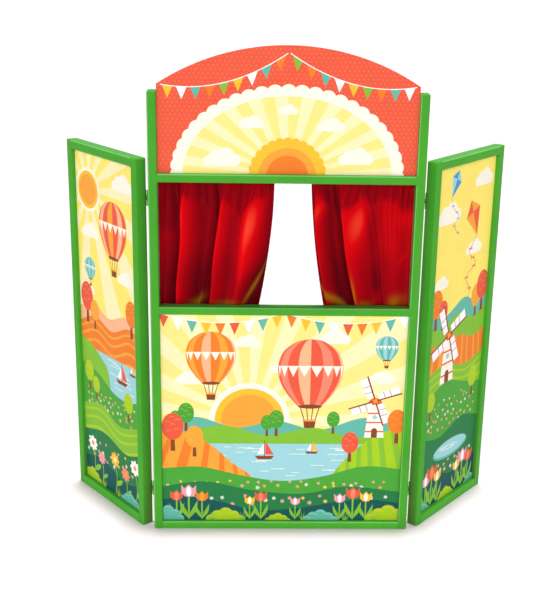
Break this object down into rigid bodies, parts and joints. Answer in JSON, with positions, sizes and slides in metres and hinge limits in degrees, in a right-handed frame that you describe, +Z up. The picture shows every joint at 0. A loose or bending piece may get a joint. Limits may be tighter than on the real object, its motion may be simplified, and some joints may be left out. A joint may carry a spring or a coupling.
{
  "type": "folding toy theatre",
  "caption": "Tall toy theatre: wooden frame with an arched header, stage window, gathered curtains on a rod, and hinged board wings that fold flat behind it.",
  "frame": {"origin": "middle of the bottom rail's underside, halfway through the depth of the centre frame", "axes": "+Z up along the posts, +X to the right as the audience sees it, +Y away from the audience"},
  "size_m": [0.8562, 0.22, 0.9399],
  "materials": {
    "frame_paint": "satin green paint on solid wood",
    "header_print": "printed thin board, satin",
    "board_print": "printed thin board, satin",
    "curtain_cloth": "red satin",
    "rod_steel": "plain steel rod",
    "hinge_paint": "painted over with the frame",
    "pin_steel": "bright steel",
    "screw_paint": "painted over with the frame",
    "dowel_wood": "bare beech"
  },
  "bodies": {
    "centre_frame": {"left_post": "frame_paint", "right_post": "frame_paint", "lintel_rail": "frame_paint", "sill_rail": "frame_paint", "bottom_rail": "frame_paint", "front_board": "board_print", "header_board": "header_print", "frame_dowels": "dowel_wood", "curtain_rod": "rod_steel", "left_hinge_post_leaves": "hinge_paint", "left_hinge_pins": "pin_steel", "left_hinge_post_screws": "screw_paint", "right_hinge_post_leaves": "hinge_paint", "right_hinge_pins": "pin_steel", "right_hinge_post_screws": "screw_paint"},
    "left_wing": {"left_wing_inner_stile": "frame_paint", "left_wing_outer_stile": "frame_paint", "left_wing_top_rail": "frame_paint", "left_wing_bottom_rail": "frame_paint", "left_wing_board": "board_print", "left_wing_dowels": "dowel_wood", "left_hinge_wing_leaves": "hinge_paint", "left_hinge_wing_screws": "screw_paint"},
    "right_wing": {"right_wing_inner_stile": "frame_paint", "right_wing_outer_stile": "frame_paint", "right_wing_top_rail": "frame_paint", "right_wing_bottom_rail": "frame_paint", "right_wing_board": "board_print", "right_wing_dowels": "dowel_wood", "right_hinge_wing_leaves": "hinge_paint", "right_hinge_wing_screws": "screw_paint"},
    "left_curtain_cloth": {"left_curtain": "curtain_cloth"},
    "right_curtain_cloth": {"right_curtain": "curtain_cloth"}
  },
  "joints": [
    {"name": "left_wing_fold", "type": "hinge", "parent": "centre_frame", "child": "left_wing", "pos_m": [-0.25075, 0.0157, 0.3685], "axis": [0, 0, -1], "range_deg": [-54, 128]},
    {"name": "right_wing_fold", "type": "hinge", "parent": "centre_frame", "child": "right_wing", "pos_m": [0.25075, 0.0157, 0.3685], "axis": [0, 0, 1], "range_deg": [-51.5, 130.5]},
    {"name": "left_curtain_draw", "type": "slide", "parent": "centre_frame", "child": "left_curtain_cloth", "axis": [-1, 0, 0], "range_m": [-0.033, 0.12], "deforming": ["left_curtain"]},
    {"name": "right_curtain_draw", "type": "slide", "parent": "centre_frame", "child": "right_curtain_cloth", "axis": [1, 0, 0], "range_m": [-0.033, 0.1], "deforming": ["right_curtain"]}
  ]
}
